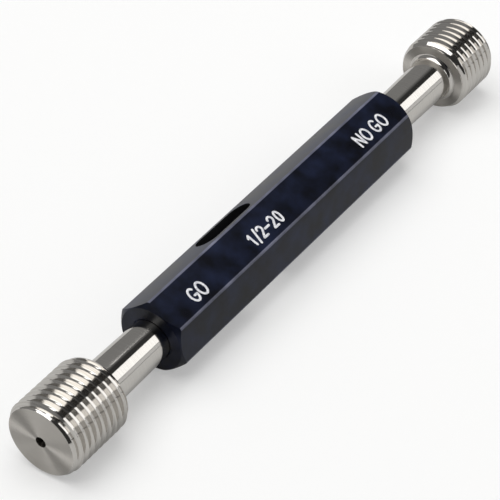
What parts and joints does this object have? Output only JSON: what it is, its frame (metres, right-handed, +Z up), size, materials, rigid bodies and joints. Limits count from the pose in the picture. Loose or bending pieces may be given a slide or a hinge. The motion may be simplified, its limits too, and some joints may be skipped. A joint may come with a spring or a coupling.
{
  "type": "thread plug gauge",
  "caption": "Double-ended thread plug gauge: a hexagon handle with a slot, a longer GO thread head on one end and a shorter NO GO head on the other.",
  "frame": {"origin": "on the floor, below the middle of the gauge's length and width, as it lies at rest", "axes": "+X along the gauge from the GO end to the NO GO end, +Z up. The gauge's axis is parallel to the floor, 6.35 mm above it."},
  "size_m": [0.114, 0.0126, 0.0127],
  "materials": {
    "anodised_handle": "dark anodised, satin",
    "gauge_steel": "hardened and ground, bright"
  },
  "bodies": {
    "root": {"handle": "anodised_handle", "go_member": "gauge_steel", "no_go_member": "gauge_steel"}
  },
  "joints": []
}
